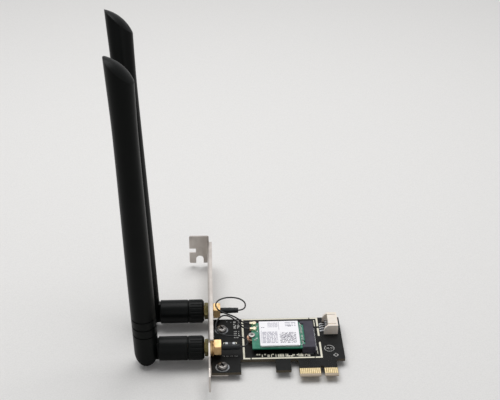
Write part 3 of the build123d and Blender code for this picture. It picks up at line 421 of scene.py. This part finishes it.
for side, route in CABLE_ROUTES_MM.items():
    curve = bpy.data.curves.new(f"coax_lead_{side}", "CURVE")
    curve.dimensions = "3D"
    curve.bevel_depth = CABLE_MM / 2 * MM
    curve.bevel_resolution = 5
    curve.use_fill_caps = True
    spline = curve.splines.new("NURBS")
    spline.points.add(len(route) - 1)
    for point, place in zip(spline.points, route):
        point.co = (*(c * MM for c in place), 1)
    spline.order_u = 3
    spline.use_endpoint_u = True
    spline.resolution_u = 10
    lead = bpy.data.objects.new(f"coax_lead_{side}", curve)
    scene.collection.objects.link(lead)
    curve.materials.append(cable_jacket)
    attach(lead, "card")
    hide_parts(f"cable_{side}")
    print(lead.name, "through", len(route), "points")

# %% [markdown]
# Fine pieces are built from lists of points in millimetres. Four shapes cover them all: a flat
# prism from an outline, a ring, a ribbon that follows a line, and a turned shape from a profile.

# %% Outlines
def box_outline(x0, y0, x1, y1):
    return [(x0, y0), (x1, y0), (x1, y1), (x0, y1)]


def rounded(x0, y0, x1, y1, radius, steps=4):
    outline = []
    corners = ((x1 - radius, y0 + radius, -90), (x1 - radius, y1 - radius, 0),
               (x0 + radius, y1 - radius, 90), (x0 + radius, y0 + radius, 180))
    for cx, cy, start in corners:
        for k in range(steps + 1):
            a = math.radians(start + 90 * k / steps)
            outline.append((cx + radius * math.cos(a), cy + radius * math.sin(a)))
    return outline


def disc(cx, cy, radius, steps=24):
    angles = [2 * math.pi * k / steps for k in range(steps)]
    return [(cx + radius * math.cos(a), cy + radius * math.sin(a)) for a in angles]


# %% Shapes with a flat top
def prism(outline, low, high):
    n = len(outline)
    points = [(x, y, z) for z in (low, high) for x, y in outline]
    faces = [tuple(reversed(range(n))), tuple(range(n, 2 * n))]
    faces += [(k, (k + 1) % n, n + (k + 1) % n, n + k) for k in range(n)]
    return points, faces


def ring(cx, cy, inner, outer, low, high, steps=40):
    loops = ((inner, low), (outer, low), (outer, high), (inner, high))
    points = [(x, y, z) for radius, z in loops for x, y in disc(cx, cy, radius, steps)]
    faces = []
    for loop in range(len(loops)):
        here, there = loop * steps, (loop + 1) % len(loops) * steps
        for k in range(steps):
            after = (k + 1) % steps
            faces.append((here + after, there + after, there + k, here + k))
    return points, faces


def ribbon(line, width, low, high):
    left, right_hand = [], []
    path = [Vector(p) for p in line]
    for k, point in enumerate(path):
        before = (point - path[k - 1]).normalized() if k else (path[1] - point).normalized()
        after = (path[k + 1] - point).normalized() if k + 1 < len(path) else before
        across = Vector((-(before + after).y, (before + after).x)).normalized()
        reach = width / 2 / max(0.3, across.dot(Vector((-before.y, before.x))))
        left.append(tuple(point + across * reach))
        right_hand.append(tuple(point - across * reach))
    return prism(right_hand + left[::-1], low, high)


# %% Turned shapes and placing
def turned(profile, steps=48):
    points = [(x, y, along) for radius, along in profile for x, y in disc(0, 0, radius, steps)]
    faces = []
    for row in range(len(profile) - 1):
        here, there = row * steps, (row + 1) * steps
        for k in range(steps):
            after = (k + 1) % steps
            faces.append((here + k, here + after, there + after, there + k))
    faces.append(tuple(reversed(range(steps))))
    faces.append(tuple(range(len(points) - steps, len(points))))
    return points, faces


def placed(shape, matrix):
    points, faces = shape
    return [tuple(matrix @ Vector(p)) for p in points], faces


# %% [markdown]
# One builder joins shapes into a mesh, keeps edges sharper than 35 degrees crisp, gives the
# piece its finish and lets it ride on its body. Where real edges are worn or pressed, a narrow
# bevel softens them. Two small helpers place pieces by the solids that carry them: one gives a
# solid's box in millimetres, the other lays a shape made along Z down along the jacks' axes.

# %% The builder
BEVEL_FROM_DEGREES = 40


def build(name, shapes, material, body="card", soften_mm=0.0, crisp=35):
    points, faces = [], []
    for shape_points, shape_faces in shapes:
        start = len(points)
        points += [tuple(c * MM for c in p) for p in shape_points]
        faces += [tuple(start + k for k in face) for face in shape_faces]
    mesh = bpy.data.meshes.new(name)
    mesh.from_pydata(points, [], faces)
    mesh.materials.append(material)
    piece = bpy.data.objects.new(name, mesh)
    scene.collection.objects.link(piece)
    if soften_mm:
        bevel = piece.modifiers.new("softened edges", "BEVEL")
        bevel.width = soften_mm * MM
        bevel.segments = 2
        bevel.limit_method = "ANGLE"
        bevel.angle_limit = math.radians(BEVEL_FROM_DEGREES)
        bpy.context.view_layer.update()
        evaluated = piece.evaluated_get(bpy.context.evaluated_depsgraph_get())
        softened = bpy.data.meshes.new_from_object(evaluated)
        piece.modifiers.clear()
        piece.data = softened
    piece.data.shade_smooth()
    piece.data.set_sharp_from_angle(angle=math.radians(crisp))
    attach(piece, body)
    print(name, len(piece.data.polygons), "faces")
    return piece


def box_mm(node):
    return [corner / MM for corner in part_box(node)]


def along_x(place):
    return Matrix.Translation(place) @ Matrix.Rotation(math.radians(90), 4, "Y")


# %% [markdown]
# The legend on the board: a cream frame around the module with a row of plain strokes inside
# it, and thinner, greyer strokes, a ring and a small diamond around it. Screen-printed ink is
# about 0.03 mm thick. The frame is broken where the photograph shows it broken, which is what
# ink does over vias, so each side of it is a list of runs. Strokes and bars get seeded sizes.

# %% Rows of strokes and bars
SHORTEST_BAR, SHORTEST_STROKE = 0.3, 0.2
BAR_LENGTHS, BAR_GAP = (0.5, 2.2), 0.35  # in heights of their row
STROKE_WIDTHS, STROKE_GAPS = (0.35, 0.35, 0.45, 0.9), (0.1, 0.25, 0.9)
UPRIGHT_BELOW, UPRIGHT_HEIGHTS = 0.5, (0.75, 1.0)
DASH_FEET, DASH_HEIGHT = (0.0, 0.35, 0.65), 0.35


def bars(x0, y0, x1, y1, rows, across=True, share=0.55):
    """Broken rows of plain bars that fill a field."""
    outlines = []
    step = ((y1 - y0) if across else (x1 - x0)) / rows
    for row in range(rows):
        at, end = (x0, x1) if across else (y0, y1)
        low = (y0 if across else x0) + (row + (1 - share) / 2) * step
        while at < end - SHORTEST_BAR:
            length = min(end - at, random.uniform(*BAR_LENGTHS) * step)
            corners = (at, low, at + length, low + share * step)
            if not across:
                corners = (low, at, low + share * step, at + length)
            outlines.append(box_outline(*corners))
            at += length + BAR_GAP * step
    return outlines


def marks(x0, y0, x1, y1, across=True):
    """A row of uneven upright strokes and short dashes."""
    outlines = []
    start, end = (x0, x1) if across else (y0, y1)
    low, high = (y0, y1) if across else (x0, x1)
    while start < end - SHORTEST_STROKE:
        width = random.choice(STROKE_WIDTHS)
        if width < UPRIGHT_BELOW:
            foot, head = low, low + (high - low) * random.uniform(*UPRIGHT_HEIGHTS)
        else:
            foot = low + (high - low) * random.choice(DASH_FEET)
            head = foot + DASH_HEIGHT * (high - low)
        width = min(width, end - start)
        corners = (start, foot, start + width, head)
        if not across:
            corners = (foot, start, head, start + width)
        outlines.append(box_outline(*corners))
        start += width + random.choice(STROKE_GAPS)
    return outlines


# %% Cream legend
INK_MM = 0.03
FRAME_LEFT, FRAME_RIGHT, FRAME_FRONT, FRAME_BACK = -41.4, 1.05, 13.8, 48.7
FRAME_LINE = 1.0
inner_left, inner_right = FRAME_LEFT + FRAME_LINE, FRAME_RIGHT - FRAME_LINE
LEFT_RUNS = ((FRAME_FRONT, 43.4), (44.6, FRAME_BACK))
FRONT_RUNS = ((inner_left, -37.6), (-36.9, -3.3), (-2.8, inner_right))
BACK_RUNS = ((inner_left, -3.9), (-3.3, inner_right))
RIGHT_RUNS = ((40.9, FRAME_BACK), (32.4, 39.3), (FRAME_FRONT, 27.3))
CREAM_ROWS = ((-34.3, 15.3, -9.0, 17.9), (-8.4, 15.3, -5.2, 17.2))
CREAM_BARS = ((-1.5, 41.0, -0.6, 46.4), (-1.6, 17.2, -1.0, 23.6))
PART_BRACKETS = (
    (-51.4, 28.1, -50.2, 28.4), (-51.4, 24.8, -50.2, 25.1), (-51.7, 24.8, -51.4, 28.4),
    (-46.0, 28.1, -44.8, 28.4), (-46.0, 24.8, -44.8, 25.1), (-44.8, 24.8, -44.5, 28.4),
)

random.seed(11)
legend = [box_outline(FRAME_LEFT, y0, inner_left, y1) for y0, y1 in LEFT_RUNS]
legend += [box_outline(x0, FRAME_FRONT, x1, FRAME_FRONT + FRAME_LINE) for x0, x1 in FRONT_RUNS]
legend += [box_outline(x0, FRAME_BACK - FRAME_LINE, x1, FRAME_BACK) for x0, x1 in BACK_RUNS]
legend += [box_outline(inner_right, y0, FRAME_RIGHT, y1) for y0, y1 in RIGHT_RUNS]
for field in CREAM_ROWS:
    legend += marks(*field)
for field in CREAM_BARS:
    legend += bars(*field, rows=1, across=False)
legend += [box_outline(*corners) for corners in PART_BRACKETS]
build("board_legend", [prism(outline, 0, INK_MM) for outline in legend], legend_ink)

# %% Grey legend
UPRIGHT_ROWS = ((-45.9, 40.4, -44.5, 47.9), (-43.9, 40.4, -42.5, 47.9))
LEVEL_ROWS = [(-45.8, 32.1 + 1.7 * k, -42.6, 33.0 + 1.7 * k) for k in range(4)]
LEVEL_ROWS += [(-52.6, 16.4, -44.3, 17.1), (3.6, 20.7, 6.9, 22.6)]
RING_PLACE, RING_INNER, RING_OUTER = (5.24, 21.6), 2.4, 2.72
DIAMOND_PLACE, DIAMOND_LINE = (8.3, 15.9), 0.55
DIAMOND_CORNERS = ((-1.2, 0), (0, -1.4), (1.2, 0), (0, 1.4), (-1.2, 0))

grey_marks = []
for field in UPRIGHT_ROWS:
    grey_marks += marks(*field, across=False)
for field in LEVEL_ROWS:
    grey_marks += marks(*field)
shapes = [prism(outline, 0, INK_MM) for outline in grey_marks]
shapes.append(ring(*RING_PLACE, RING_INNER, RING_OUTER, 0, INK_MM))
diamond = [(DIAMOND_PLACE[0] + dx, DIAMOND_PLACE[1] + dy) for dx, dy in DIAMOND_CORNERS]
shapes += [ribbon(edge, DIAMOND_LINE, 0, INK_MM) for edge in zip(diamond, diamond[1:])]
build("board_fine_print", shapes, grey_ink)

# %% [markdown]
# Under the mask run the copper tracks. Copper of 0.035 mm lifts the lacquer a little, so the
# tracks are the same black finish in a slight relief. They fan from the module's socket to the
# edge connector and to the header, with 45-degree bends as a layout program draws them: a fan
# is one track's corners, and how far each corner moves from one track to the next.
# Where a track changes side there is a via: a small ring of tin.

# %% Tracks and vias
TRACK_MM, TRACK_WIDTH = 0.045, 0.22
VIA_INNER, VIA_OUTER, VIA_MM = 0.16, 0.36, 0.05


def fan(count, *corners):
    """Tracks side by side, from corners given as (x, y, x step, y step)."""
    return [[(x + dx * k, y + dy * k) for x, y, dx, dy in corners] for k in range(count)]


tracks = fan(9, (-1.5, 6.0, -1, 0), (-1.5, 8.2, -1, 0.42), (-0.2, 9.5, -1, 0.42),
             (-0.2, 12.9, -1, -0.42))
tracks += fan(6, (2.5, 6.0, 1, 0), (2.5, 8.6, 1, 0.3), (3.7, 9.8, 1, 0.3),
              (3.7, 24.5, 1, -1.2), (0.9, 27.3, 1, -1.2))
tracks += fan(4, (-1.2, 25.5, 0, 0.8), (1.2, 27.9, 0.4, 0.4), (1.2, 30.2, 0.4, 1),
              (1.9, 30.9, 0.4, 1), (6.5, 30.9, 0, 1))
tracks += fan(5, (-56.5, 12.2, 1.1, 0), (-56.5, 20.5, 1.1, 0.5), (-54.2, 22.8, 1.1, 0.5),
              (-54.2, 31.0, 1.1, 0))
build("board_tracks", [ribbon(line, TRACK_WIDTH, 0, TRACK_MM) for line in tracks],
      board_laminate)

vias = [(-56.9, 24.0 + 3.1 * k) for k in range(4)]
vias += [(-49.5 + 2.2 * k, 46.6 - 0.7 * (k % 2)) for k in range(3)]
build("board_vias", [ring(x, y, VIA_INNER, VIA_OUTER, 0, VIA_MM, 16) for x, y in vias], dull_tin)

# %% [markdown]
# Solder. Each screw sits on a tinned land with a ring of small solder bumps, the header's pins
# and the socket's ends are soldered to lands, and the two-terminal part has a fillet at each
# end. Solder wets both pieces, so its surface is a hollow slope, drawn as a section whose
# height grows with the square of the way along it.

# %% Lands
LAND_MM = 0.05
LAND_CORNER = 0.2
BOARD_SCREWS = ((-52.6, 7.7), (-52.6, 39.2))
SCREW_LAND_INNER, SCREW_LAND_OUTER = 1.65, 3.7
BUMPS, BUMP_CIRCLE, BUMP_FOOT = 12, 3.35, 0.04
BUMP_PROFILE = [(0.2, 0), (0.16, 0.06), (0.05, 0.1)]
HEADER_MIDDLE_Y, HEADER_PITCH = 39.75, 2.0
HEADER_PINS_Y = [HEADER_MIDDLE_Y + HEADER_PITCH * (k - 1.5) for k in range(4)]
HEADER_LAND_X0, HEADER_LAND_X1, HEADER_LAND_HALF = 1.5, 3.6, 0.45
SOCKET_LAND_X0, SOCKET_LAND_X1, SOCKET_LAND_DEPTH = -6.6, -3.6, 1.2
SOCKET_LANDS_Y = (16.9, 41.1)

lands = [ring(x, y, SCREW_LAND_INNER, SCREW_LAND_OUTER, 0, LAND_MM, 48) for x, y in BOARD_SCREWS]
for x, y in BOARD_SCREWS:
    for k in range(BUMPS):
        a = math.radians((k + 0.5) * 360 / BUMPS)
        spot = (x + BUMP_CIRCLE * math.cos(a), y + BUMP_CIRCLE * math.sin(a), BUMP_FOOT)
        lands.append(placed(turned(BUMP_PROFILE, 10), Matrix.Translation(spot)))
outlines = [rounded(HEADER_LAND_X0, y - HEADER_LAND_HALF, HEADER_LAND_X1, y + HEADER_LAND_HALF,
                    LAND_CORNER) for y in HEADER_PINS_Y]
outlines += [rounded(SOCKET_LAND_X0, y, SOCKET_LAND_X1, y + SOCKET_LAND_DEPTH, LAND_CORNER)
             for y in SOCKET_LANDS_Y]
lands += [prism(outline, 0, LAND_MM) for outline in outlines]
build("board_lands", lands, dull_tin)


# %% Solder
def fillet_slope(x0, x1, y_low, y_high, foot, height, steps=6):
    """Solder that climbs from a low foot at x0 to full height at x1 along a hollow curve."""
    section = [(x0 + (x1 - x0) * k / steps, foot + (height - foot) * (k / steps) ** 2)
               for k in range(steps + 1)]
    section += [(x1, 0.0), (x0, 0.0)]
    n = len(section)
    points = [(x, y, z) for y in (y_low, y_high) for x, z in section]
    faces = [tuple(range(n)), tuple(reversed(range(n, 2 * n)))]
    faces += [(k, n + k, n + (k + 1) % n, (k + 1) % n) for k in range(n)]
    return points, faces


PIN_SOLDER_X, PIN_HALF, PIN_FOOT, PIN_HEIGHT = (1.45, 2.4), 0.42, 0.06, 0.42
PART_ENDS_X, PART_ENDS_Y = ((-51.1, -50.7), (-45.1, -45.5)), (25.65, 27.55)
PART_FOOT, PART_HEIGHT = 0.05, 0.6
solder = [fillet_slope(*PIN_SOLDER_X, y - PIN_HALF, y + PIN_HALF, PIN_FOOT, PIN_HEIGHT)
          for y in HEADER_PINS_Y]
solder += [fillet_slope(*ends_x, *PART_ENDS_Y, PART_FOOT, PART_HEIGHT) for ends_x in PART_ENDS_X]
build("solder_fillets", solder, solder_tin)

# %% [markdown]
# The label on the can. Its print is plain fields: rows of bars, a block of scattered dots, two
# thin rules and a few short strokes. Nothing in it can be read. The can's top is where the
# label's solid lies, so the print sits on the label's box.

# %% Print on the label
TONER_MM = 0.015
LABEL_TOP = box_mm("module_label")[1].z
PALE_FIELDS = ((-30.6, 21.0, -22.4, 31.0, 9, 0.6), (-27.4, 34.6, -21.9, 38.9, 5, 0.5),
               (-17.9, 35.2, -12.0, 39.3, 3, 0.4))
PALE_RULES = ((-31.2, 21.0, -31.0, 32.0), (-21.5, 32.4, -21.3, 39.4))
DARK_FIELDS = ((-31.0, 34.3, -29.0, 35.0, 1, 0.7), (-16.4, 35.0, -14.6, 36.6, 2, 0.55))
DOTS_LEFT, DOTS_FRONT, DOT_COLUMNS, DOT_ROWS = -21.2, 21.0, 26, 27
DOT_STEP, DOT_MM = 0.34, 0.306
DOT_CHANCE = 0.5

random.seed(5)
prints = {"label_print_pale": [], "label_print_dark": []}
for name, fields in zip(prints, (PALE_FIELDS, DARK_FIELDS)):
    for x0, y0, x1, y1, rows, share in fields:
        prints[name] += bars(x0, y0, x1, y1, rows, share=share)
prints["label_print_pale"] += [box_outline(*corners) for corners in PALE_RULES]
for row in range(DOT_ROWS):
    for column in range(DOT_COLUMNS):
        if random.random() < DOT_CHANCE:
            x, y = DOTS_LEFT + DOT_STEP * column, DOTS_FRONT + DOT_STEP * row
            prints["label_print_dark"].append(box_outline(x, y, x + DOT_MM, y + DOT_MM))
for (name, outlines), toner in zip(prints.items(), (pale_toner, dark_toner)):
    build(name, [prism(o, LABEL_TOP, LABEL_TOP + TONER_MM) for o in outlines], toner)

# %% [markdown]
# Small parts on the module: ceramic capacitors of 1.0 by 0.5 mm, each a pale body between two
# tinned ends, in the strip between the can and the socket, and a few beside the antenna
# sockets. They are what makes that strip glitter in the photograph.

# %% Small parts on the module
MODULE_TOP = box_mm("module_board")[1].z
CAPACITOR_LENGTH, CAPACITOR_WIDTH, CAPACITOR_HEIGHT = 1.0, 0.5, 0.45
BODY_HEIGHT = 0.96 * CAPACITOR_HEIGHT
capacitors = [(-9.15, 20.4 + 1.35 * k, 0) for k in range(7)]
capacitors += [(-9.3, 30.6 + 1.2 * k, 0) for k in range(8)]
capacitors += [(-33.2, 37.0, 90), (-33.2, 32.6, 90), (-34.6, 36.85, 0), (-33.6, 26.6, 90),
               (-34.6, 25.4, 0)]


def capacitor_slice(x0, x1, height):
    return prism(box_outline(x0, -CAPACITOR_WIDTH / 2, x1, CAPACITOR_WIDTH / 2), 0, height)


bodies, ends = [], []
tip, shoulder = CAPACITOR_LENGTH / 2, CAPACITOR_LENGTH / 4
for x, y, angle in capacitors:
    turn = Matrix.Rotation(math.radians(angle), 4, "Z")
    place = Matrix.Translation((x, y, MODULE_TOP)) @ turn
    bodies.append(placed(capacitor_slice(-shoulder, shoulder, BODY_HEIGHT), place))
    for x0, x1 in ((-tip, -shoulder), (shoulder, tip)):
        ends.append(placed(capacitor_slice(x0, x1, CAPACITOR_HEIGHT), place))
build("module_capacitor_bodies", bodies, pale_ceramic, soften_mm=0.03)
build("module_capacitor_ends", ends, solder_tin, soften_mm=0.04)

# %% [markdown]
# The lock washers are toothed rings of thin spring bronze, plated like the jacks. Each tooth is
# twisted out of the ring's plane so that it bites into nut and panel, which is why they
# sparkle. A flat ring with teeth turned by 25 degrees about their own radius gives that broken
# edge.

# %% Toothed lock washers
TEETH = 14
TOOTH_TWIST = math.radians(25)
TOOTH_OUTLINE = [(3.85, -0.42), (4.62, -0.5), (4.62, 0.5), (3.85, 0.42)]
TOOTH_HALF_MM = 0.18
WASHER_INNER, WASHER_OUTER, WASHER_HALF_MM = 3.27, 4.0, 0.25
for side in SIDES:
    low, high = box_mm(f"lock_washer_{side}")
    on_axis = along_x((low + high) / 2)
    flat = ring(0, 0, WASHER_INNER, WASHER_OUTER, -WASHER_HALF_MM, WASHER_HALF_MM, 56)
    tooth = prism(TOOTH_OUTLINE, -TOOTH_HALF_MM, TOOTH_HALF_MM)
    washer = [placed(flat, on_axis)]
    for k in range(TEETH):
        turn = Matrix.Rotation(2 * math.pi * k / TEETH, 4, "Z")
        twist = Matrix.Rotation(TOOTH_TWIST, 4, "X")
        washer.append(placed(tooth, on_axis @ turn @ twist))
    piece = build(f"star_washer_{side}", washer, turned_gold, soften_mm=0.05)
    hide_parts(f"lock_washer_{side}")

# %% [markdown]
# Between each grip and its barrel sits a thin black ring on the plug's body, which rests on the
# barrel's end face and fills most of the gap. It is painted shade: a dark piece that stands for
# the shadow in the joint.

# %% Painted shade between grips and barrels
SHADE_RING_INNER, SHADE_RING_OUTER = 4.1, 6.2
GAP_SHARE = 0.7
for side in SIDES:
    barrel_end = box_mm(f"barrel_{side}")[1].x
    low, high = box_mm(f"knob_{side}")
    thickness = (low.x - barrel_end) * GAP_SHARE
    on_axis = along_x((barrel_end, (low.y + high.y) / 2, (low.z + high.z) / 2))
    # A black ring that paints the shadow in the joint.
    shade_ring = ring(0, 0, SHADE_RING_INNER, SHADE_RING_OUTER, 0, thickness, 48)
    build(f"grip_gap_painted_shade_{side}", [placed(shade_ring, on_axis)], antenna_abs,
          body=f"barrel_{side}")

# %% [markdown]
# The sleeve over each jack's tail is a piece of shrink tube. It was wider than the tail and
# shrank on to it under hot air, so it follows the crimp below in soft steps, is a little uneven,
# and draws in at its open end. A turned profile with a gentle, seeded unevenness gives that:
# radii are shares of the solid sleeve's, and lengths run from its end at the jack.

# %% Shrunk sleeves
SLEEVE_STEPS = 56
PROFILE_STEPS = 24
SLEEVE_SHARE = 0.955
CRIMP_AT, CRIMP_DEPTH, CRIMP_STEEPNESS = 0.66, 0.04, 18
WAVE_DEPTH, WAVES = 0.02, 21
UNEVENNESS, UNEVEN_GRAIN = 0.03, Vector((1.1, 1.1, 0.7))
START = ((0.93, 0), (0.985, 0.15))
BODY_FROM, BODY_SHORTER = 0.15, 0.6
OPEN_END = ((0.88, 0.25), (0.78, 0.05), (0.62, 0))


def shrunk_profile(radius, length):
    profile = [(radius * share, at) for share, at in START]
    for k in range(1, PROFILE_STEPS):
        way = k / PROFILE_STEPS
        step = CRIMP_DEPTH * math.tanh((way - CRIMP_AT) * CRIMP_STEEPNESS)
        step += WAVE_DEPTH * math.sin(way * WAVES)
        at = BODY_FROM + way * (length - BODY_SHORTER)
        profile.append((radius * (SLEEVE_SHARE - step), at))
    return profile + [(radius * share, length - back) for share, back in OPEN_END]


for side in SIDES:
    low, high = box_mm(f"cable_sleeve_{side}")
    axis_y, axis_z = (low.y + high.y) / 2, (low.z + high.z) / 2
    profile = shrunk_profile((high.z - low.z) / 2, high.x - low.x)
    points, faces = turned(profile, SLEEVE_STEPS)
    uneven = []
    for x, y, z in points:
        spot = Vector((x, y, z)) * UNEVEN_GRAIN + Vector((0, 0, axis_y))
        swell = 1 + UNEVENNESS * noise.noise(spot)
        uneven.append((x * swell, y * swell, z))
    shape = placed((uneven, faces), along_x((low.x, axis_y, axis_z)))
    sleeve = build(f"shrunk_sleeve_{side}", [shape], shrunk_sleeve,
                   crisp=50)
    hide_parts(f"cable_sleeve_{side}")

# %% [markdown]
# The studio floor is plain pale paper that reaches past every edge of the picture, just under
# the card's lowest point. A wide soft light hangs overhead and slightly behind, and a weaker
# one stands in front.

# %% Floor and lights
FLOOR_REACH, FLOOR_GAP = 4.0, 0.0002
floor_paper = surface("matt_background_paper", "#E8E7E5", "#DFDEDC", 0.8, fine=(0.6, 4))
floor_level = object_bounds()[0][2] - FLOOR_GAP
corners = box_outline(-FLOOR_REACH, -FLOOR_REACH, FLOOR_REACH, FLOOR_REACH)
floor_mesh = bpy.data.meshes.new("floor")
floor_mesh.from_pydata([(x, y, floor_level) for x, y in corners], [], [(0, 1, 2, 3)])
floor_mesh.materials.append(floor_paper)
floor = bpy.data.objects.new("floor", floor_mesh)
scene.collection.objects.link(floor)


def soft_light(name, place, target, width, height, watts):
    light = bpy.data.lights.new(name, "AREA")
    light.shape = "RECTANGLE"
    light.size, light.size_y, light.energy = width, height, watts
    lamp = bpy.data.objects.new(name, light)
    lamp.location = place
    aim = Vector(target) - Vector(place)
    lamp.rotation_euler = aim.to_track_quat("-Z", "Y").to_euler()
    scene.collection.objects.link(lamp)
    print(name, watts, "watts")


CARD_CENTRE = (-0.04, 0.03, 0.03)
soft_light("overhead", (-0.1, 0.3, 0.85), CARD_CENTRE, 0.9, 0.6, 6.8)
soft_light("front_fill", (0.3, -0.9, 0.5), CARD_CENTRE, 0.7, 0.5, 0.6)

# %% [markdown]
# The world lights the card evenly at a low level. Mirror-like finishes have to see something
# pale, so camera, glossy and transmitted rays see the background at a level of its own.

# %% World
WORLD_LIGHT, WORLD_SHOWN = 0.32, 0.85
world = bpy.data.worlds.new("studio")
scene.world = world
world.use_nodes = True
sky = world.node_tree
background = sky.nodes["Background"]
background.inputs["Color"].default_value = linear("#F4F4F6")
rays = add(sky, "ShaderNodeLightPath")
seen = rays.outputs["Is Camera Ray"]
for kind in ("Is Glossy Ray", "Is Transmission Ray"):
    either = add(sky, "ShaderNodeMath", links={0: seen, 1: rays.outputs[kind]},
                 operation="MAXIMUM")
    seen = either.outputs["Value"]
level = add(sky, "ShaderNodeMapRange", {"To Min": WORLD_LIGHT, "To Max": WORLD_SHOWN},
            {"Value": seen})
sky.links.new(level.outputs["Result"], background.inputs["Strength"])
print("world level", WORLD_LIGHT, "shown at", WORLD_SHOWN)
